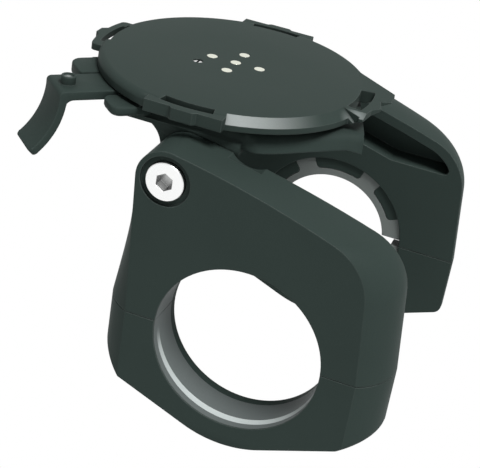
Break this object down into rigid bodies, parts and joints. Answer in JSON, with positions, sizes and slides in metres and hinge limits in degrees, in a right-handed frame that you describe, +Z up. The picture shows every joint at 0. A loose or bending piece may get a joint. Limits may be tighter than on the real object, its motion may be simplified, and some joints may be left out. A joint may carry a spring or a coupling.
{
  "type": "bike phone mount",
  "caption": "Handlebar phone mount with split clamps, a tilting bridge, a round docking plate with flush contacts and a sprung release lever.",
  "frame": {"origin": "on the bar's axis, halfway between the two clamps", "axes": "+X along the bar towards the clamp with the spacer, +Y towards the pivot and the release lever, +Z up, towards the docking plate"},
  "size_m": [0.0664, 0.0777, 0.0606],
  "materials": {
    "shell": "satin",
    "plate": "satin",
    "liner": "satin",
    "spacer": "satin",
    "screw": "satin",
    "insert": "satin",
    "washer": "matte",
    "contact": "polished",
    "carrier": "matte",
    "board": "satin",
    "seal": "matte"
  },
  "bodies": {
    "base": {"left_clamp_body": "shell", "right_clamp_body": "shell", "left_clamp_cap": "shell", "right_clamp_cap": "shell", "left_upper_liner": "liner", "left_lower_liner": "liner", "right_upper_liner": "liner", "right_lower_liner": "liner", "spacer_upper": "spacer", "spacer_lower": "spacer", "cap_screws": "screw", "cap_inserts": "insert"},
    "platform": {"bridge": "shell", "docking_plate": "plate", "plate_screws": "screw", "contact_pads": "contact", "contact_carrier": "carrier", "contact_board": "board", "seal_ring": "seal", "locating_screw": "screw", "left_pivot_bolt": "screw", "right_pivot_bolt": "screw", "pivot_inserts": "insert", "friction_washers": "washer", "lever_pin": "screw", "lever_spring": "screw"},
    "lever": {"release_lever": "shell"}
  },
  "joints": [
    {"name": "platform_tilt", "type": "hinge", "parent": "base", "child": "platform", "pos_m": [0, 0.0176, 0.0284], "axis": [1, 0, 0], "range_deg": [-30, 18]},
    {"name": "lever_press", "type": "hinge", "parent": "platform", "child": "lever", "pos_m": [-0.01697, 0.03557, 0.0354], "axis": [-0.7071, -0.7071, 0], "range_deg": [0, 10], "stiffness_Nm_per_rad": 0.3, "springref_deg": -4.58}
  ]
}
